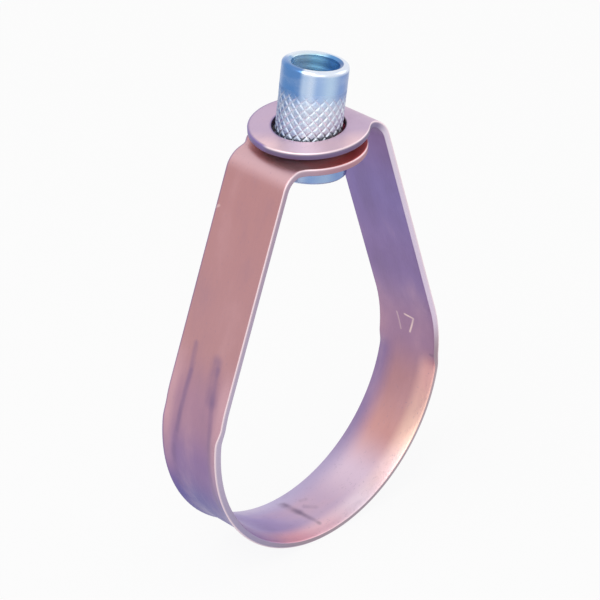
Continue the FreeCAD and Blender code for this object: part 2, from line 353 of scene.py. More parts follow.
@dataclass
class LoopBand:
    """The strip: one eye at each end, joined to the strip's width by fillets, with broken edges."""

    path: StripPath = field(default_factory=StripPath)
    hole_radius: float = 7.219
    edge_round: float = 0.26
    hole_round: float = 0.2
    edge_reach: float = 3.0
    corner_points: int = 5
    fillet_points: int = 17
    rim_points: int = 133
    plan_points: int = 240
    run_counts: tuple[int, ...] = (24, 44, 250, 40, 20)
    sheet_shares: tuple[float, ...] = (-1.0, -0.955, -0.88, 0.88, 0.955, 1.0)
    sheet_counts: tuple[int, ...] = (1, 1, 28, 1, 1)
    ring_shares: tuple[float, ...] = (0.0, 0.08, 0.92, 1.0)
    ring_counts: tuple[int, ...] = (1, 7, 1)

    def touch(self, end: Shoulder) -> float:
        """Angle from the strip's line at which the eye's circle meets its fillet."""
        up = self.path.width / 2 + end.fillet
        return math.asin(up / (self.path.eye_radius + end.fillet))

    def corner(self, rounding: float) -> np.ndarray:
        """Broken edge and wall from the outer face to the inner one, as a quarter circle at each edge.

        Args:
            rounding: Radius of the quarter circles.

        Returns:
            Reach from the inset line as a share of the rounding, and height, for each point.
        """
        beta = np.linspace(0, math.pi / 2, self.corner_points)
        t = self.path.thickness
        upper = np.stack([np.sin(beta), -rounding * (1 - np.cos(beta))], axis=-1)
        drop = np.linspace(-rounding, rounding - t, self.corner_points)[1:-1]
        wall = np.stack([np.ones_like(drop), drop], axis=-1)
        lower = np.stack([np.cos(beta), rounding - t - rounding * np.sin(beta)], axis=-1)
        return np.concatenate([upper, wall, lower])

    def across(self) -> np.ndarray:
        """Shares of half the width from one edge to the other, closer together at the edges."""
        return steps(self.sheet_shares, self.sheet_counts)

    def neck(self, end: Shoulder) -> tuple[np.ndarray, np.ndarray]:
        """Outline and outline normals along one fillet, measured from the eye's centre.

        A point of the fillet is its centre plus the radius along an angle, which turns from the eye's
        circle to square across the strip. Its distance along the strip is found from its place in plan.

        Args:
            end: The shoulder whose bend the fillet runs into.

        Returns:
            Outline points and normals, each as distance along and distance across.
        """
        up = self.path.width / 2 + end.fillet
        out = up / math.tan(self.touch(end))
        turned = np.linspace(math.pi + self.touch(end), 1.5 * math.pi, self.fillet_points)
        edge = np.array([out, up]) + end.fillet * ray(turned)
        s = np.linspace(0, self.path.eye_radius, self.plan_points)
        walk = s if end.side > 0 else self.path.length - s
        plan = (self.path.along(walk)[0][:, 0] - end.drift) * end.side
        edge[:, 0] = np.interp(edge[:, 0], plan, s)
        return edge, -ray(turned)

    def outline(self) -> tuple[np.ndarray, np.ndarray]:
        """Edge of the strip from the upper eye's fillet to the lower eye's.

        Returns:
            Edge points and normals, each as distance along and distance across.
        """
        total = self.path.length
        first, first_normal = self.neck(self.path.upper)
        last, last_normal = self.neck(self.path.lower)
        marks = [first[-1, 0], *self.path.runs["start"][2:6], total - last[-1, 0]]
        s = steps(marks, self.run_counts)[1:-1]
        plain = np.stack([s, np.full_like(s, self.path.width / 2)], axis=-1)
        flip = np.array([-1, 1])
        edge = np.concatenate([first, plain, [total, 0] + last[::-1] * flip])
        normal = np.concatenate([first_normal, np.tile([0.0, 1.0], (s.size, 1)), last_normal[::-1] * flip])
        return edge, normal

    def tube(self) -> np.ndarray:
        """Closed sections of the strip, one for each outline point.

        A section is the outer sheet, one wall, the inner sheet and the other wall. A wall point is the
        inset outline plus a share of the rounding along the outline's normal.

        Returns:
            Grid of flat points.
        """
        edge, normal = self.outline()
        inset = edge - self.edge_round * normal
        share = self.across()
        reach, height = self.corner(self.edge_round)[1:-1].T
        t = self.path.thickness
        across = np.concatenate([share, np.ones_like(reach), share[::-1], -np.ones_like(reach)])
        out = np.concatenate([0 * share, reach, 0 * share, reach[::-1]])
        drop = np.concatenate([0 * share, height, 0 * share - t, height[::-1]])
        s = inset[:, :1] + self.edge_round * out * normal[:, :1]
        y = across * (inset[:, 1:] + self.edge_round * out * normal[:, 1:])
        return np.stack([s, y, np.broadcast_to(drop, s.shape)], axis=-1)

    def eye(self, end: Shoulder) -> tuple[np.ndarray, np.ndarray]:
        """One eye around its own centre, with the strip leaving along +s.

        The sheets run from the hole to the inset circle, or to the straight line where the strip starts.

        Args:
            end: The shoulder that leaves the eye.

        Returns:
            Grid of the sheets and the hole's wall, and grid of the outer wall.
        """
        rim = self.path.eye_radius - self.edge_round
        hole = self.hole_radius + self.hole_round
        touch = self.touch(end)
        mouth = np.arctan(self.across() * math.tan(touch))
        rest = np.linspace(touch, 2 * math.pi - touch, self.rim_points)
        angle = np.concatenate([mouth, rest[1:-1]])
        outer = np.where(np.cos(angle) > math.cos(touch), rim * math.cos(touch) / np.cos(angle), rim)
        share = steps(self.ring_shares, self.ring_counts)
        bore = self.corner(self.hole_round)
        sheet = outer[:, None] + (hole - outer[:, None]) * share
        wall = np.broadcast_to(hole - self.hole_round * bore[1:-1, 0], (angle.size, len(bore) - 2))
        radius = np.concatenate([sheet, wall, sheet[:, ::-1]], axis=1)
        flat = np.zeros_like(share)
        height = np.concatenate([flat, bore[1:-1, 1], flat - self.path.thickness])
        turn = ray(angle)[:, None, :] * radius[..., None]
        sheets = np.concatenate([turn, np.broadcast_to(height[:, None], radius.shape + (1,))], axis=-1)
        side = self.corner(self.edge_round)
        turn = ray(rest)[:, None, :] * (rim + self.edge_round * side[:, 0])[:, None]
        drop = np.broadcast_to(side[:, 1:], turn.shape[:2] + (1,))
        return sheets, np.concatenate([turn, drop], axis=-1)

    def edge_distance(self, flat: np.ndarray) -> np.ndarray:
        """Distance on the sheet to the nearest edge, by the outline or by the hole of the nearer end.

        Args:
            flat: Points of the flat strip.

        Returns:
            Distances, held at the reach.
        """
        distance = np.full(len(flat), self.edge_reach)
        ends = ((flat[:, 0], self.path.upper), (self.path.length - flat[:, 0], self.path.lower))
        for local, end in ends:
            radius = np.hypot(local, flat[:, 1])
            edge, _ = self.neck(end)
            half = np.interp(local, edge[:, 0], edge[:, 1])
            outer = np.where(local < edge[0, 0], self.path.eye_radius - radius, half - np.abs(flat[:, 1]))
            own = np.minimum(outer, radius - self.hole_radius)
            distance = np.where(local < self.path.length / 2, np.minimum(distance, own), distance)
        return np.clip(distance, 0, self.edge_reach)

    def build(self) -> bpy.types.Object:
        """Mesh of the strip, with each point's flat place and distance to the edge.

        Strip and eyes meet at the necks to within 0.015 mm, and their borders there aren't joined.

        Returns:
            The object.
        """
        surface = Surface()
        surface.add(self.tube(), close_columns=True)
        ends = ((self.path.upper, 0.0, 1), (self.path.lower, self.path.length, -1))
        for end, start, turned in ends:
            sheets, wall = self.eye(end)
            surface.add(sheets * [turned, 1, 1] + [start, 0, 0], close_rows=True)
            surface.add(wall * [turned, 1, 1] + [start, 0, 0])
        flat, faces = surface.welded()
        piece = make_object("hanger_strip", self.path.space(flat), faces.tolist())
        store(piece, "place", flat * [1 / self.path.length, 1 / CM, -1 / self.path.thickness])
        store(piece, "edge", self.edge_distance(flat))
        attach(piece, Body.LOOP.value)
        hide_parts("loop_band")
        return piece


@dataclass
class SwivelNut:
    """The nut: a body of revolution about its own axis with diamond knurl and rod thread."""

    lean: float = 7.25
    eye_height: float = 59.75
    top: float = 12.85
    radius: float = 6.6
    rim_round: float = 0.8
    collar_foot: float = 8.15
    flange_top: float = -6.621
    flange_base: float = -9.521
    flange_radius: float = 8.3
    flange_chamfer: float = 0.5
    mouth_radius: float = 5.4
    mouth_depth: float = 1.0
    thread_crest: float = 3.99
    thread_root: float = 4.7625
    thread_pitch: float = 1.5875
    thread_lead: float = 9.0
    lead_start: float = 1.6
    lead_least: float = 0.1
    crest_flat: float = 0.25
    flank_share: float = 0.625
    mouth_steepness: float = 1.4
    knurl_starts: int = 22
    knurl_rows: int = 14
    knurl_depth: float = 0.21
    knurl_drop: float = 0.04
    groove_share: float = 0.42
    run_out: float = 1.6
    per_start: int = 14
    per_pitch: int = 16
    rim_points: int = 13
    fine_top: float = 6.0
    fine_foot: float = 4.0

    @cached_property
    def angles(self) -> np.ndarray:
        """Angles of the grid's columns."""
        count = self.knurl_starts * self.per_start
        return np.arange(count) * 2 * math.pi / count

    def knurled(self, z: np.ndarray, angle: np.ndarray) -> np.ndarray:
        """Radius of the diamond knurl.

        Two counts run along the two families of grooves: starts times angle over a turn, plus or minus
        height over two half rows. A land's middle is where both are whole, a groove's floor where one is
        a half. The radius falls from the land by the larger share of the two grooves. Near the collar
        the floors rise, so that the grooves get narrower and run out.

        Args:
            z: Heights along the axis.
            angle: Angles about it.

        Returns:
            Radii.
        """
        row = (self.collar_foot - self.flange_top) / self.knurl_rows
        turn = self.knurl_starts * angle / (2 * math.pi)
        rise = (z - self.flange_top) / (2 * row)
        off = [2 * np.abs(k - np.round(k)) for k in (turn + rise, turn - rise)]
        share = np.clip((np.maximum(*off) - 1 + self.groove_share) / self.groove_share, 0, 1)
        fade = np.clip((self.collar_foot - z) / self.run_out, 0, 1)
        depth = np.maximum(share - (1 - fade), 0)
        return self.radius - self.knurl_drop * fade - self.knurl_depth * depth

    def bored(self, z: np.ndarray, angle: np.ndarray) -> np.ndarray:
        """Radius of the threaded bore with its two chamfers.

        The thread's count is height over pitch less the turn. Its radius rises from the crest to the root
        by the distance of that count from a whole one, cut flat at both. The first turns under the mouth
        are lower, as the tap's lead leaves them. A chamfer is a cone, and the larger radius of cone and
        thread is free space.

        Args:
            z: Heights along the axis.
            angle: Angles about it.

        Returns:
            Radii.
        """
        count = z / self.thread_pitch - angle / (2 * math.pi)
        off = 2 * np.abs(count - np.round(count))
        deep = np.clip((off - self.crest_flat) / self.flank_share, 0, 1)
        lead = np.clip((self.top - z - self.lead_start) / self.thread_lead, self.lead_least, 1)
        thread = self.thread_root - (self.thread_root - self.thread_crest) * (1 - deep) * lead
        slope = self.mouth_steepness * (self.mouth_radius - self.thread_crest) / self.mouth_depth
        upper = self.mouth_radius - slope * (self.top - z)
        lower = self.thread_crest + self.mouth_depth / 2 - (z - self.flange_base)
        return np.maximum(thread, np.maximum(upper, lower))

    def stations(self) -> tuple[np.ndarray, np.ndarray, np.ndarray]:
        """Closed half section: flange, knurl, collar, rim, mouth and bore.

        Stations stand close to each corner, so that smooth shading keeps it crisp.

        Returns:
            Radius and height of each station, and its zone: 0 turned, 1 knurled, 2 bored.
        """
        r, z, zone = [], [], []

        def run(radii: np.ndarray | float, heights: np.ndarray | float, kind: int = 0) -> None:
            """Add stations of one kind."""
            size = np.broadcast(radii, heights).size
            r.extend(np.broadcast_to(radii, size))
            z.extend(np.broadcast_to(heights, size))
            zone.extend([kind] * size)

        brink, close, wide = 0.04, 0.05, 0.2
        inner = self.thread_crest + self.mouth_depth / 2
        outer = self.flange_radius
        edge = outer - self.flange_chamfer
        base, low, top = self.flange_base, self.flange_base + self.flange_chamfer, self.flange_top
        foot, shoulder = self.collar_foot, self.top - self.rim_round
        run(steps([inner + close, inner + wide, edge - wide, edge - close], [1, 4, 1]), base)
        run(np.array([edge + close, outer - close]), np.array([base + close, low - close]))
        run(outer, steps([low + close, low + wide, top - wide - close, top - 2 * close], [1, 2, 1]))
        run(steps([outer - 2 * close, outer - wide - 2 * close, self.radius + 3 * close], [1, 3]), top)
        run(self.radius, np.linspace(top, foot, self.knurl_rows * self.per_start // 2 + 1), 1)
        run(self.radius, steps([foot + 1.5 * brink, foot + wide, shoulder - wide, shoulder], [1, 8, 1]))
        bend = np.linspace(0, math.pi / 2, self.rim_points)[1:]
        core = self.radius - self.rim_round
        run(core + self.rim_round * np.cos(bend), shoulder + self.rim_round * np.sin(bend))
        mouth = self.mouth_radius + close
        run(steps([core - 3 * close, mouth + 2 * close, mouth], [2, 1]), self.top)
        fine = self.thread_pitch / self.per_pitch
        marks = [self.top - brink, self.top - self.fine_top, base + self.fine_foot, base + brink]
        middle = round((marks[1] - marks[2]) / fine / 3)
        run(0.0, steps(marks, [round(self.fine_top / fine), middle, round(self.fine_foot / fine)]), 2)
        return np.array(r), np.array(z), np.array(zone)

    def build(self) -> bpy.types.Object:
        """Mesh of the nut, leaned and set in the eyes, with each point's place about its own axis.

        A quad is cut along the diagonal whose middle is nearer to the true surface.

        Returns:
            The object.
        """
        r, z, zone = (k[:, None] for k in self.stations())
        angle = self.angles[None, :]
        radius = np.where(zone == 1, self.knurled(z, angle), np.where(zone == 2, self.bored(z, angle), r))
        quads = grid_faces(*radius.shape, True, True)
        z, zone, angle, radius = (np.broadcast_to(k, radius.shape).ravel() for k in (z, zone, angle, radius))
        local = np.concatenate([ray(angle) * radius[:, None], z[:, None]], axis=-1)
        a, b, c, d = quads.T
        half = math.pi / self.angles.size
        wanted = self.knurled((z[a] + z[d]) / 2, angle[a] + half)
        first = np.abs((radius[a] + radius[c]) / 2 - wanted) <= np.abs((radius[b] + radius[d]) / 2 - wanted)
        cut = zone[a] == 1
        faces = quads[~cut].tolist()
        for chosen, corners in ((first, ([0, 1, 2], [0, 2, 3])), (~first, ([0, 1, 3], [1, 2, 3]))):
            for three in corners:
                faces += quads[cut & chosen][:, three].tolist()
        level, tip = ray(np.radians(self.lean))
        leaned = np.array([[level, 0, tip], [0, 1, 0], [-tip, 0, level]])
        piece = make_object("rod_nut", local @ leaned.T + [0, 0, self.eye_height], faces)
        store(piece, "turned", local / CM)
        store(piece, "groove", np.where(zone == 1, (self.radius - radius) / self.knurl_depth, 0))
        store(piece, "knurl", zone == 1)
        store(piece, "bore", zone == 2)
        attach(piece, Body.NUT.value)
        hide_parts("swivel_nut")
        return piece


class NodeBench:
    """Adds and joins the nodes of one tree."""

    def __init__(self, tree: bpy.types.NodeTree) -> None:
        """Start with an empty tree."""
        self.tree = tree
        self.tree.nodes.clear()

    def node(self, kind: str, inputs: dict | None = None, **settings: object) -> bpy.types.Node:
        """Add a node, set its properties, and set or join its inputs.

        Args:
            kind: Type of the node, without its first word.
            inputs: Values or outputs for the inputs, by name or number.
            settings: Properties of the node.

        Returns:
            The node.
        """
        made = self.tree.nodes.new("ShaderNode" + kind)
        for key, value in settings.items():
            setattr(made, key, value)
        for key, value in (inputs or {}).items():
            self.feed(made.inputs[key], value)
        return made

    def feed(self, socket: Socket, value: object) -> None:
        """Join a socket to another's output, or set it to a plain value.

        Args:
            socket: The input.
            value: An output, a number, a vector or a colour.
        """
        if isinstance(value, Socket):
            self.tree.links.new(value, socket)
        elif socket.type == "RGBA":
            socket.default_value = (*value, 1.0)
        else:
            socket.default_value = value

    def math(self, operation: str, a: object, b: object = 0.0, clamp: bool = False) -> Socket:
        """Result of one calculation on two numbers."""
        return self.node("Math", {0: a, 1: b}, operation=operation, use_clamp=clamp).outputs[0]

    def times(self, a: object, b: object) -> Socket:
        """Product of two numbers."""
        return self.math("MULTIPLY", a, b)

    def plus(self, a: object, b: object) -> Socket:
        """Sum of two numbers."""
        return self.math("ADD", a, b)

    def rest(self, share: object) -> Socket:
        """What a share leaves of 1."""
        return self.math("SUBTRACT", 1.0, share)

    def vector(self, operation: str, a: object, b: object) -> bpy.types.NodeOutputs:
        """Results of one calculation on two vectors."""
        return self.node("VectorMath", {0: a, 1: b}, operation=operation).outputs

    def attribute(self, name: str, output: str = "Fac") -> Socket:
        """A stored value of the piece."""
        return self.node("Attribute", attribute_name=name).outputs[output]

    def parts(self, vector: Socket) -> list[Socket]:
        """The three numbers of a vector."""
        return list(self.node("SeparateXYZ", {0: vector}).outputs)

    def flat(self, vector: Socket) -> Socket:
        """A vector with its third number set to zero."""
        return self.vector("MULTIPLY", vector, (1.0, 1.0, 0.0))[0]

    def stretched(self, vector: Socket, scale: Colour) -> Socket:
        """A vector scaled along each axis."""
        return self.node("Mapping", {"Vector": vector, "Scale": scale}).outputs[0]

    def noise(self, vector: Socket, stretch: Colour, detail: float, rough: float) -> Socket:
        """Cloudy noise from 0 to 1 that follows a stretched vector, with finer layers of some strength."""
        place = self.stretched(vector, stretch)
        inputs = {"Vector": place, "Scale": 1.0, "Detail": detail, "Roughness": rough}
        return self.node("TexNoise", inputs).outputs["Fac"]

    def span(self, value: object, low: float, high: float, start: float = 0.0, end: float = 1.0) -> Socket:
        """A value carried smoothly from one range to another and held at its ends."""
        inputs = {"Value": value, "From Min": low, "From Max": high, "To Min": start, "To Max": end}
        return self.node("MapRange", inputs, interpolation_type="SMOOTHSTEP").outputs["Result"]

    def hump(self, value: object, rise: Fade, fall: Fade) -> Socket:
        """1 between two soft limits of a value, and 0 outside them."""
        return self.times(self.span(value, *rise), self.rest(self.span(value, *fall)))

    def ramp(self, value: Socket, colours: Stops) -> Socket:
        """Colour by value.

        Args:
            value: Place on the ramp.
            colours: Its stops.

        Returns:
            The colour.
        """
        made = self.node("ValToRGB", {"Fac": value})
        line = made.color_ramp
        line.interpolation = "EASE"
        for i, (place, colour) in enumerate(colours):
            stop = line.elements[i] if i < 2 else line.elements.new(place)
            stop.position, stop.color = place, (*colour, 1.0)
        return made.outputs["Color"]

    def mix(self, share: object, a: object, b: object) -> Socket:
        """Two colours mixed by a share."""
        return self.node("Mix", {0: share, 6: a, 7: b}, data_type="RGBA").outputs[2]

    def stroke(self, spot: Socket, points: Line) -> Socket:
        """Distance from a spot in a plane to a line through points.

        For each two points: the spot's share along their run, held between 0 and 1, gives the nearest
        place on the run. The smallest of the distances to these places is the result.

        Args:
            spot: The spot.
            points: The line's points.

        Returns:
            The distance.
        """
        nearest = None
        for a, b in zip(points, points[1:]):
            run = (b[0] - a[0], b[1] - a[1], 0.0)
            off = self.vector("SUBTRACT", spot, (*a, 0.0))[0]
            dot = self.vector("DOT_PRODUCT", off, run)["Value"]
            share = self.math("DIVIDE", dot, run[0] ** 2 + run[1] ** 2, clamp=True)
            reach = self.node("VectorMath", {0: run, "Scale": share}, operation="SCALE").outputs[0]
            gap = self.vector("DISTANCE", off, reach)["Value"]
            nearest = gap if nearest is None else self.math("MINIMUM", nearest, gap)
        return nearest


class Coat(NodeBench):
    """The nodes of one surface material, with its shader and output."""

    def __init__(self, name: str) -> None:
        """Start a material with only its shader and output."""
        self.material = bpy.data.materials.new(name)
        self.material.use_nodes = True
        super().__init__(self.material.node_tree)
        self.shader = self.node("BsdfPrincipled")
        self.output = self.node("OutputMaterial", {0: self.shader.outputs[0]})

    def dress(self, values: dict[str, object]) -> bpy.types.Material:
        """Set or join the shader's inputs.

        Args:
            values: Values or outputs by the input's name.

        Returns:
            The material.
        """
        for name, value in values.items():
            self.feed(self.shader.inputs[name], value)
        return self.material

    def bump(self, height: Socket, strength: float) -> Socket:
        """Surface normal disturbed by a height in millimetres."""
        inputs = {"Height": height, "Distance": MM, "Strength": strength}
        return self.node("Bump", inputs).outputs["Normal"]


BROAD_CORE = 0.2


@dataclass(frozen=True)
class Mark:
    """A soft streak, scratch, stamped stroke or painted shade on one face of the strip.

    Args:
        points: Its line, each point as distance along and distance across the strip.
        width: Distance from the line at which it has faded.
        inner: Whether it lies on the inner face.
        tint: Its colour.
        share: How strongly its colour shows.
        depth: Depth of its dent in millimetres.
        core: Share of the width that shows in full.
    """

    points: Line
    width: float
    inner: bool
    tint: Colour
    share: float
    depth: float = 0.0
    core: float = 0.1

    @property
    def even(self) -> bool:
        """Whether it is a broad painted shade, which wear doesn't break up."""
        return self.core > BROAD_CORE


# Painted shade along the creases where the seat's lips begin.
PAINTED_CREASE_SHADE = srgb(128, 104, 142)
SCRATCH = srgb(116, 98, 126)
STAMPED = srgb(246, 220, 216)
SHADED = srgb(122, 54, 62)
# Painted dark shade between the eyes, through the hole and on the hole walls.
PAINTED_DARK_SHADE = srgb(38, 30, 52)
UPPER_EYE = ((0.0, 0.0), (0.1, 0.0))
LOWER_EYE = ((246.24, 0.0), (246.34, 0.0))
FAR_CREASE = ((195.5, 3.7), (190.1, 3.2), (183.7, 3.3), (176.8, 4.0), (171.4, 5.2), (162.0, 5.6))
NEAR_CREASE = ((192.7, -3.4), (186.7, -4.1), (180.7, -5.0), (175.4, -5.5), (160.0, -5.6))
STRIP_MARKS = (
    # Painted shade along the creases of the lips on the outer face.
    Mark(FAR_CREASE, 1.1, False, PAINTED_CREASE_SHADE, 0.42),
    Mark(FAR_CREASE[1:4], 0.8, False, PAINTED_CREASE_SHADE, 0.35),
    Mark(((193.9, -2.7), (190.5, -3.1), (186.2, -3.8)), 2.3, False, PAINTED_CREASE_SHADE, 0.52),
    Mark(NEAR_CREASE, 1.0, False, PAINTED_CREASE_SHADE, 0.42),
    Mark(((126.1, 4.3), (126.0, 1.0), (125.6, -5.2)), 0.85, True, SCRATCH, 0.45, 0.012),
    Mark(((126.5, 4.4), (126.0, 0.4)), 1.7, True, SCRATCH, 0.5),
    Mark(((126.0, 0.4), (125.8, -3.4)), 1.3, True, SCRATCH, 0.3),
    Mark(((123.4, 0.9), (122.0, -0.8)), 1.1, True, SCRATCH, 0.3),
    Mark(((122.6, 3.0), (121.4, 2.6)), 0.8, True, SCRATCH, 0.25),
    Mark(((76.8, -8.0), (76.9, -6.9)), 0.55, True, SCRATCH, 0.7),
    Mark(((69.9, 2.7), (73.9, 1.7)), 0.34, True, STAMPED, 0.7, 0.05),
    Mark(((69.5, 0.4), (69.6, -2.1), (73.6, -0.9)), 0.38, True, STAMPED, 0.95, 0.05),
    # Painted red shade between the two eyes, on the lower eye's top and the upper eye's underside.
    Mark(LOWER_EYE, 10.5, False, SHADED, 0.95, core=0.72),
    Mark(UPPER_EYE, 10.5, True, SHADED, 0.95, core=0.72),
    # Painted dark shade between the eyes on the far side, and on the lower eye seen through the upper eye's
    # hole.
    Mark(((245.2, 8.8), (247.4, 8.8)), 3.2, False, PAINTED_DARK_SHADE, 1.0, core=0.5),
    Mark(LOWER_EYE, 8.5, False, PAINTED_DARK_SHADE, 0.8, core=0.92),
    Mark(((222.4, 7.8), (223.0, 7.0)), 0.45, False, STAMPED, 0.4),
)


@dataclass(frozen=True)
class CopperPlate:
    """Satin copper plate on rolled strip.

    Faces that look down carry painted violet shade, and those that look up are paler with painted light; near
    edges carry painted highlights, far edges painted violet shade, and random clouds vary the tone. A fade is
    where a tint starts and ends, then its strength there if that isn't 0 and 1. A pattern is how close
    together it lies along each axis, how many finer layers it has and how strong they are.
    """

    # Painted light and shade along the outer face: violet where it looks down, pale on the bends, painted red
    # reflection and shade on the lower eye between the eyes.
    outer: Stops = stops(
        (0.0, 216, 186, 204), (0.04, 216, 188, 206), (0.062, 226, 206, 222), (0.10, 190, 145, 149),
        (0.30, 188, 142, 148), (0.40, 118, 104, 170), (0.64, 104, 92, 162), (0.69, 150, 121, 166),
        (0.74, 177, 137, 159), (0.80, 190, 143, 147), (0.935, 190, 140, 142), (0.950, 208, 170, 176),
        (0.966, 222, 178, 184), (0.976, 238, 150, 148), (1.0, 255, 140, 136),
    )
    # Painted light and shade along the inner face: violet where it looks down, pale where the seat looks up,
    # painted red reflection and shade under the upper eye.
    inner: Stops = stops(
        (0.0, 190, 98, 98), (0.055, 140, 110, 160), (0.13, 138, 120, 178), (0.22, 146, 121, 173),
        (0.30, 172, 136, 166), (0.35, 190, 142, 148), (0.395, 206, 153, 150), (0.445, 222, 198, 216),
        (0.49, 200, 175, 201), (0.57, 156, 136, 190), (0.68, 158, 128, 168), (0.88, 146, 120, 172),
        (1.0, 150, 96, 110),
    )
    # Painted highlight on the near lip of the seat.
    near_lip_highlight: Stops = stops(
        (0.305, 176, 136, 160), (0.328, 252, 198, 190), (0.385, 255, 214, 192), (0.43, 238, 206, 206),
        (0.467, 250, 230, 240), (0.508, 250, 212, 220), (0.55, 230, 176, 190), (0.58, 206, 164, 184),
        (0.62, 160, 132, 170),
    )
    # Painted violet shade on the far lip of the seat.
    far_lip_shade: Stops = stops(
        (0.30, 134, 112, 164), (0.38, 154, 130, 172), (0.46, 186, 170, 204), (0.53, 194, 182, 216),
        (0.62, 160, 150, 196),
    )
    # Painted light and shade along the near wall.
    near_wall_light_and_shade: Stops = stops(
        (0.0, 108, 98, 134), (0.045, 136, 124, 158), (0.065, 226, 214, 230), (0.27, 224, 208, 228),
        (0.31, 168, 148, 158), (0.52, 150, 134, 146), (0.62, 166, 156, 184), (0.72, 190, 178, 200),
        (0.95, 176, 156, 174), (1.0, 176, 134, 146),
    )
    # Painted highlight along the near corner; painted violet shade on the far corner and wall.
    corner: Colour = srgb(246, 226, 232)
    back_corner_shade: Colour = srgb(138, 116, 180)
    back_wall_shade: Colour = srgb(120, 108, 160)
    # Painted light on the ring's front and painted shade on its back.
    ring_front_light: Colour = srgb(246, 211, 216)
    ring_back_shade: Colour = srgb(200, 176, 202)
    # Pale painted highlight on the outer flanks where the lip begins, also the tint of random pale clouds.
    rubbed_and_highlight: Colour = srgb(222, 176, 182)
    clouded: Colour = srgb(140, 122, 150)
    seat_starts: Fade = (0.302, 0.33)
    seat_ends: Fade = (0.54, 0.62)
    near_side: Fade = (-0.30, -0.64)
    far_side: Fade = (0.15, 0.72)
    foot_starts: Fade = (0.66, 0.72)
    foot_ends: Fade = (0.755, 0.80)
    highlight_flanks: Fade = (0.45, 0.70, 0.0, 0.55)
    ring_ahead: Fade = (-1.2, -0.25)
    ring_ends: Fade = (0.035, 0.058, 0.9, 0.0)
    half_way: Fade = (0.42, 0.58)
    corner_ends: Fade = (0.06, 0.36)
    middle: Fade = (-0.1, 0.1)
    # Painted violet shade along the far edge of the outer face.
    far_edge_shade: Fade = (0.15, 0.6, 0.6, 0.0)
    edge_wall: Fade = (0.04, 0.22, 0.92, 0.0)
    # Painted dark shade on the hole walls.
    hole_shade: Fade = (7.24, 7.42, 0.85, 0.0)
    dark_cloud: Fade = (0.5, 0.8, 0.0, 0.26)
    pale_cloud: Fade = (0.5, 0.2, 0.0, 0.28)
    dark_speck: Fade = (0.58, 0.74, 0.0, 0.32)
    wear: Fade = (0.35, 0.6, 0.5, 1.0)
    grain_rough: Fade = (0.3, 0.7, -0.05, 0.05)
    cloud_rough: Fade = (0.3, 0.8, -0.05, 0.09)
    clouds: Pattern = ((0.06, 0.14, 0.5), 4.0, 0.5)
    specks: Pattern = ((1.4, 2.2, 1.0), 5.0, 0.6)
    patches: Pattern = ((0.13, 0.3, 1.0), 2.0, 0.5)
    grain: Pattern = ((0.35, 9.0, 4.0), 3.0, 0.5)
    length: float = 246.24
    thickness: float = 1.5
    metallic: float = 0.88
    roughness: float = 0.43
    grain_height: float = 0.006
    speck_height: float = 0.008
    bump_strength: float = 0.6
    marks: tuple[Mark, ...] = STRIP_MARKS

    def sheet(self, bench: Coat, along: Socket, across: Socket, inner: Socket) -> Socket:
        """Painted light and shade of the two faces along the strip, with a painted highlight on the near lip
        and flanks, painted shade on the far lip, and a lit front and shaded back on the ring.

        Args:
            bench: The material's nodes.
            along: Share along the strip.
            across: Distance across the strip in centimetres.
            inner: 1 on the inner face, 0 on the outer one.

        Returns:
            The colour.
        """
        lips = bench.hump(along, self.seat_starts, self.seat_ends)
        near = bench.times(lips, bench.span(across, *self.near_side))
        far = bench.times(lips, bench.span(across, *self.far_side))
        # Painted highlight on the near lip, painted violet shade on the far lip.
        seat = bench.mix(near, bench.ramp(along, self.inner), bench.ramp(along, self.near_lip_highlight))
        seat = bench.mix(far, seat, bench.ramp(along, self.far_lip_shade))
        # Painted highlight on the outer flanks where the lip begins.
        foot = bench.hump(along, self.foot_starts, self.foot_ends)
        highlight_flank = bench.span(bench.math("ABSOLUTE", across), *self.highlight_flanks)
        back = bench.mix(bench.times(foot, highlight_flank), bench.ramp(along, self.outer), self.rubbed_and_highlight)
        # Painted light on the upper eye's front, painted shade on its back.
        ahead = bench.plus(bench.times(along, self.length / CM), across)
        ring = bench.mix(bench.span(ahead, *self.ring_ahead), self.ring_front_light, self.ring_back_shade)
        back = bench.mix(bench.span(along, *self.ring_ends), back, ring)
        return bench.mix(inner, back, seat)

    def marked(self, bench: Coat, colour: Socket, size: Socket, inner: Socket) -> tuple[Socket, Socket]:
        """Colour and dents of the scratches and stamped strokes, and colour of the painted shades in the
        creases and between the eyes.

        Args:
            bench: The material's nodes.
            colour: The colour under them.
            size: Place on the strip in millimetres.
            inner: 1 on the inner face, 0 on the outer one.

        Returns:
            The colour with the marks, and their depth in millimetres.
        """
        spot = bench.flat(size)
        outer = bench.rest(inner)
        worn = bench.span(bench.noise(size, *self.patches), *self.wear)
        dents: object = 0.0
        for mark in self.marks:
            faded = bench.span(bench.stroke(spot, mark.points), mark.core * mark.width, mark.width, 1.0, 0.0)
            here = bench.times(faded, inner if mark.inner else outer)
            shown = here if mark.even else bench.times(here, worn)
            colour = bench.mix(bench.times(shown, mark.share), colour, mark.tint)
            if mark.depth:
                dents = bench.plus(dents, bench.times(here, mark.depth))
        return colour, dents

    def edged(self, bench: Coat, colour: Socket, place: Socket, size: Socket, inner: Socket) -> Socket:
        """Colour of the walls: painted light on the near side, painted violet shade on the far side and
        painted dark shade in the holes.

        Args:
            bench: The material's nodes.
            colour: The colour of the faces.
            place: Place on the strip, in shares.
            size: The same in millimetres.
            inner: 1 on the inner face, 0 on the outer one.

        Returns:
            The colour with the walls.
        """
        along, across, depth = bench.parts(place)
        edge = bench.attribute("edge")
        rear = bench.span(across, *self.middle)
        # Painted violet shade along the far edge of the outer face.
        line = bench.times(bench.span(edge, *self.far_edge_shade), rear)
        colour = bench.mix(bench.times(line, bench.rest(inner)), colour, self.back_wall_shade)
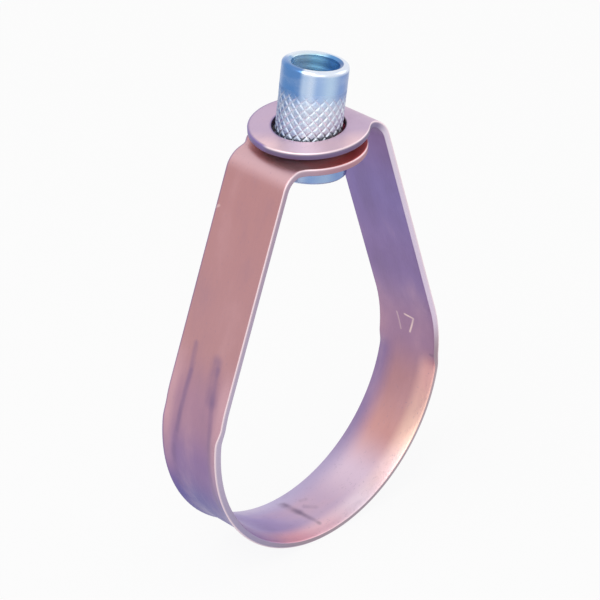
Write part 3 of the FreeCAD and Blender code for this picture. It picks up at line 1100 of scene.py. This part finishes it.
        # Walls: painted highlight at the near corner, painted light and shade along the near wall, painted
        # violet shade on the far side.
        down = bench.span(depth, *self.corner_ends)
        front = bench.mix(down, self.corner, bench.ramp(along, self.near_wall_light_and_shade))
        back = bench.mix(down, self.back_corner_shade, self.back_wall_shade)
        wall = bench.span(edge, *self.edge_wall)
        colour = bench.mix(wall, colour, bench.mix(rear, front, back))
        # Painted dark shade on the hole walls.
        spot = bench.flat(size)
        nearest = bench.math("MINIMUM", bench.stroke(spot, UPPER_EYE), bench.stroke(spot, LOWER_EYE))
        hole = bench.span(nearest, *self.hole_shade)
        return bench.mix(hole, colour, PAINTED_DARK_SHADE)

    def material(self) -> bpy.types.Material:
        """The finish as a material: painted light and shade, random clouds, marks with painted shades, walls,
        then rolled grain and dents as bump.

        Returns:
            The material.
        """
        bench = Coat("copper_plate_satin")
        place = bench.attribute("place", "Vector")
        along, across, depth = bench.parts(place)
        size = bench.stretched(place, (self.length, CM, self.thickness))
        inner = bench.span(depth, *self.half_way)
        colour = self.sheet(bench, along, across, inner)
        cloud = bench.noise(size, *self.clouds)
        colour = bench.mix(bench.span(cloud, *self.dark_cloud), colour, self.clouded)
        colour = bench.mix(bench.span(cloud, *self.pale_cloud), colour, self.rubbed_and_highlight)
        speck = bench.noise(size, *self.specks)
        colour = bench.mix(bench.span(speck, *self.dark_speck), colour, self.clouded)
        colour, dents = self.marked(bench, colour, size, inner)
        colour = self.edged(bench, colour, place, size, inner)
        grain = bench.noise(size, *self.grain)
        rough = bench.plus(bench.span(grain, *self.grain_rough), self.roughness)
        rough = bench.plus(rough, bench.span(cloud, *self.cloud_rough))
        relief = bench.math("SUBTRACT", bench.times(grain, self.grain_height), dents)
        relief = bench.plus(relief, bench.times(speck, self.speck_height))
        normal = bench.bump(relief, self.bump_strength)
        values = {"Base Color": colour, "Metallic": self.metallic, "Roughness": rough, "Normal": normal}
        return bench.dress(values)


@dataclass(frozen=True)
class ZincPlate:
    """Bright zinc plate with painted light and shade: a blue tint that changes round the nut, paler on the
    knurl, and painted highlights on rim, mouth and knurl grooves.
    """

    # Painted light and shade about the nut's axis: blue on one side, white where it faces the light.
    round_about_light_and_shade: Stops = stops(
        (0.0, 150, 178, 220), (0.15, 92, 134, 190), (0.29, 178, 200, 230), (0.355, 122, 156, 208),
        (0.415, 108, 146, 200), (0.45, 88, 134, 192), (0.545, 92, 136, 194), (0.575, 176, 200, 232),
        (0.605, 194, 212, 237), (0.64, 152, 180, 222), (0.70, 180, 205, 233), (0.77, 128, 156, 206),
        (0.82, 122, 146, 196), (1.0, 150, 178, 220),
    )
    # Painted light and shade in the bore, by angle about the axis.
    inside_light_and_shade: Stops = stops(
        (0.0, 92, 152, 212), (0.12, 168, 232, 255), (0.20, 200, 242, 255), (0.27, 204, 240, 255),
        (0.33, 128, 176, 226), (0.42, 122, 164, 216), (0.60, 140, 176, 220), (0.88, 58, 106, 172),
        (1.0, 92, 152, 212),
    )
    # Painted light and shade on the knurl's lands, by angle about the axis.
    knurled: Stops = stops(
        (0.0, 188, 200, 218), (0.36, 132, 152, 188), (0.46, 96, 122, 168), (0.53, 146, 164, 196),
        (0.62, 184, 195, 213), (0.74, 186, 194, 213), (0.82, 176, 181, 202), (1.0, 188, 200, 218),
    )
    # Painted highlight on the rim, also the tint of random pale film.
    rim: Colour = srgb(236, 241, 250)
    # Darker blue towards the bottom: painted shade under the lower eye on the flange and the foot of the
    # knurl.
    flange: Colour = srgb(112, 136, 184)
    # Painted highlight in the knurl's grooves, also the tint of random pale scuffs on its lands.
    line: Colour = srgb(240, 244, 250)
    knurl_fades: Fade = (0.80, 0.45, 0.1, 1.0)
    bottom_shade_starts: Fade = (-0.60, -0.68, 0.0, 0.5)
    rim_starts: Fade = (1.17, 1.24)
    mouth_starts: Fade = (1.235, 1.275)
    blue_starts: Fade = (0.28, 0.37)
    blue_ends: Fade = (0.55, 0.575)
    # Painted highlight on the mouth's front side.
    mouth_highlight_starts: Fade = (0.02, 0.1)
    mouth_highlight_ends: Fade = (0.28, 0.33)
    scuffed_lands: Fade = (0.42, 0.68, 0.0, 0.55)
    scuffed_grooves: Fade = (0.35, 0.62, 0.5, 0.15)
    groove_highlights: Fade = (0.05, 0.8)
    pale_film: Fade = (0.45, 0.75, 0.0, 0.14)
    film_rough: Fade = (0.3, 0.7, -0.03, 0.05)
    scuffs: Pattern = ((11.0, 11.0, 8.0), 3.0, 0.6)
    film: Pattern = ((1.4, 1.4, 3.2), 3.0, 0.5)
    turning: Pattern = ((0.6, 0.6, 60.0), 2.0, 0.5)
    edge_share: float = 0.8
    metallic: float = 1.0
    bore_metallic: float = 0.45
    roughness: float = 0.24
    knurl_roughness: float = 0.46
    turning_height: float = 0.01
    bump_strength: float = 0.5

    def knurl_colour(self, bench: Coat, turned: Socket, share: Socket, collar: Socket) -> Socket:
        """Scuffed pale lands with painted light and shade round the axis and painted highlights in the
        grooves, which take the collar's colour towards it.

        Args:
            bench: The material's nodes.
            turned: Place about the nut's axis in centimetres.
            share: Share of a turn about the axis.
            collar: The collar's colour.

        Returns:
            The colour.
        """
        height = bench.parts(turned)[2]
        scuffed = bench.noise(turned, *self.scuffs)
        land = bench.mix(bench.span(scuffed, *self.scuffed_lands), bench.ramp(share, self.knurled), self.line)
        land = bench.mix(bench.span(height, *self.knurl_fades), collar, land)
        # Painted highlight in the grooves.
        groove = bench.span(bench.attribute("groove"), *self.groove_highlights)
        groove = bench.times(groove, bench.span(scuffed, *self.scuffed_grooves))
        return bench.mix(groove, land, self.line)

    def material(self) -> bpy.types.Material:
        """The finish as a material: painted light and shade about the axis, knurl, painted shade on the
        flange, painted highlight on the rim, and bore, then turning lines.

        Returns:
            The material.
        """
        bench = Coat("zinc_plate_bright")
        turned = bench.attribute("turned", "Vector")
        x, y, z = bench.parts(turned)
        angle = bench.math("ARCTAN2", bench.times(y, -1.0), bench.times(x, -1.0))
        share = bench.plus(bench.math("DIVIDE", angle, 2 * math.pi), 0.5)
        knurl, bore = bench.attribute("knurl"), bench.attribute("bore")
        # Painted light and shade about the nut's axis.
        colour = bench.ramp(share, self.round_about_light_and_shade)
        colour = bench.mix(knurl, colour, self.knurl_colour(bench, turned, share, colour))
        # Painted shade under the lower eye: darker blue towards the bottom.
        colour = bench.mix(bench.span(z, *self.bottom_shade_starts), colour, self.flange)
        # Painted highlight on the rim, except on the blue side.
        clear = bench.rest(bench.hump(share, self.blue_starts, self.blue_ends))
        rim = bench.times(bench.span(z, *self.rim_starts), clear)
        colour = bench.mix(bench.times(rim, self.edge_share), colour, self.rim)
        # Bore: painted light and shade by angle, with a painted highlight at the mouth on its front side.
        mouth_highlight_side = bench.hump(share, self.mouth_highlight_starts, self.mouth_highlight_ends)
        mouth = bench.times(bench.span(z, *self.mouth_starts), mouth_highlight_side)
        within = bench.mix(bench.times(mouth, self.edge_share), bench.ramp(share, self.inside_light_and_shade), self.rim)
        colour = bench.mix(bore, colour, within)
        film = bench.noise(turned, *self.film)
        colour = bench.mix(bench.span(film, *self.pale_film), colour, self.rim)
        metallic = bench.span(bore, 0.0, 1.0, self.metallic, self.bore_metallic)
        rough = bench.span(knurl, 0.0, 1.0, self.roughness, self.knurl_roughness)
        rough = bench.plus(rough, bench.span(film, *self.film_rough))
        turning = bench.noise(turned, *self.turning)
        normal = bench.bump(bench.times(turning, self.turning_height), self.bump_strength)
        values = {"Base Color": colour, "Metallic": metallic, "Roughness": rough, "Normal": normal}
        return bench.dress(values)


@dataclass
class Studio:
    """Pale floor, soft light from above and both sides, and the camera."""

    floor_height: float = -32.6
    floor_half: float = 6000.0
    floor_colour: Colour = (0.86, 0.86, 0.86)
    floor_glow: float = 0.92
    room_light: float = 0.45
    azimuth: float = 0.79184391
    elevation: float = 0.51678261
    roll: float = 0.01492264
    distance: float = 569.7416
    focal: float = 2849.895
    frame_width: float = 600.0
    sensor: float = 36.0
    target: Colour = (-1.7726, 0.0, 21.1618)
    lit_height: float = 20.0

    def seen(self, bench: NodeBench, *kinds: str) -> Socket:
        """1 where the ray is of one of these kinds, and 0 elsewhere."""
        path = bench.node("LightPath").outputs
        return reduce(lambda a, b: bench.math("MAXIMUM", a, b), [path[f"Is {kind} Ray"] for kind in kinds])

    def world(self) -> None:
        """White surroundings for camera, reflections and clear things, softer ones for light."""
        room = bpy.data.worlds.new("studio_room")
        room.use_nodes = True
        bench = NodeBench(room.node_tree)
        seen = self.seen(bench, "Camera", "Glossy", "Transmission")
        level = bench.node("MapRange", {"Value": seen, "To Min": self.room_light, "To Max": 1.0})
        light = bench.node("Background", {"Color": (1.0, 1.0, 1.0), "Strength": level.outputs["Result"]})
        bench.node("OutputWorld", {0: light.outputs[0]})
        bpy.context.scene.world = room

    def floor(self) -> None:
        """Wide floor that looks white to the camera and keeps a soft shadow."""
        half, height = self.floor_half, self.floor_height
        corners = [(-half, -half, height), (half, -half, height), (half, half, height), (-half, half, height)]
        mesh = bpy.data.meshes.new("studio_floor")
        mesh.from_pydata((np.array(corners) * MM).tolist(), [], [(0, 1, 2, 3)])
        floor = bpy.data.objects.new("studio_floor", mesh)
        bpy.context.scene.collection.objects.link(floor)
        bench = Coat("floor_paper")
        glow = bench.node("Emission", {"Color": (1.0, 1.0, 1.0), "Strength": 1.0})
        share = bench.times(self.seen(bench, "Camera", "Glossy"), self.floor_glow)
        both = bench.node("MixShader", {0: share, 1: bench.shader.outputs[0], 2: glow.outputs[0]})
        bench.feed(bench.output.inputs[0], both.outputs[0])
        paper = {"Base Color": self.floor_colour, "Roughness": 0.9, "Specular IOR Level": 0.0}
        mesh.materials.append(bench.dress(paper))

    def lamp(self, name: str, spot: Colour, size: float, power: float) -> None:
        """Square soft light that faces the middle of the object.

        Args:
            name: Name of the light.
            spot: Place in millimetres.
            size: Side of the square in metres.
            power: Power in watts.
        """
        data = bpy.data.lights.new(name, "AREA")
        data.shape, data.size, data.energy = "SQUARE", size, power
        lamp = bpy.data.objects.new(name, data)
        place = Vector(spot) * MM
        facing = (Vector((0.0, 0.0, self.lit_height)) * MM - place).to_track_quat("-Z", "Y")
        lamp.matrix_world = Matrix.Translation(place) @ facing.to_matrix().to_4x4()
        bpy.context.scene.collection.objects.link(lamp)

    def lamps(self) -> None:
        """Key from above on the left, fill from the front and a weak one from the right."""
        self.lamp("key_light", (-760.0, -120.0, 1000.0), 0.9, 6.0)
        self.lamp("fill_light", (-700.0, -1100.0, 500.0), 1.0, 2.5)
        self.lamp("side_light", (1100.0, -500.0, 500.0), 0.9, 1.5)

    def camera(self) -> None:
        """Camera at the viewing angle of the picture.

        It stands back from the target along its line of sight. Right and up turn about that line by the roll.
        """
        az, el, roll = self.azimuth, self.elevation, self.roll
        ahead = np.array([math.sin(az) * math.cos(el), math.cos(az) * math.cos(el), -math.sin(el)])
        level = np.array([math.cos(az), -math.sin(az), 0.0])
        above = np.cross(level, ahead)
        right = math.cos(roll) * level + math.sin(roll) * above
        up = math.cos(roll) * above - math.sin(roll) * level
        eye = (np.array(self.target) - self.distance * ahead) * MM
        data = bpy.data.cameras.new("camera")
        data.sensor_width = self.sensor
        data.sensor_fit = "HORIZONTAL"
        data.lens = self.focal * self.sensor / self.frame_width
        data.clip_start, data.clip_end = 0.01, 50.0
        camera = bpy.data.objects.new("camera", data)
        turned = Matrix(np.stack([right, up, -ahead], axis=1).tolist()).to_4x4()
        camera.matrix_world = Matrix.Translation(Vector(eye.tolist())) @ turned
        bpy.context.scene.collection.objects.link(camera)
        bpy.context.scene.camera = camera

    def build(self) -> None:
        """Set up light, floor, camera and colour handling."""
        bpy.context.scene.view_settings.view_transform = "Standard"
        self.world()
        self.floor()
        self.lamps()
        self.camera()


def main() -> None:
    """Build the pieces, dress them and set up the studio."""
    logging.basicConfig(level=logging.INFO, format="%(message)s")
    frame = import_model()
    LOG.info("nodes %s", sorted(frame["nodes"]))
    for part, finish in ((LoopBand(), CopperPlate()), (SwivelNut(), ZincPlate())):
        piece = part.build()
        piece.data.materials.append(finish.material())
        LOG.info("%s: %d points, %d faces", piece.name, len(piece.data.vertices), len(piece.data.polygons))
    Studio().build()


if __name__ == "__main__":
    main()
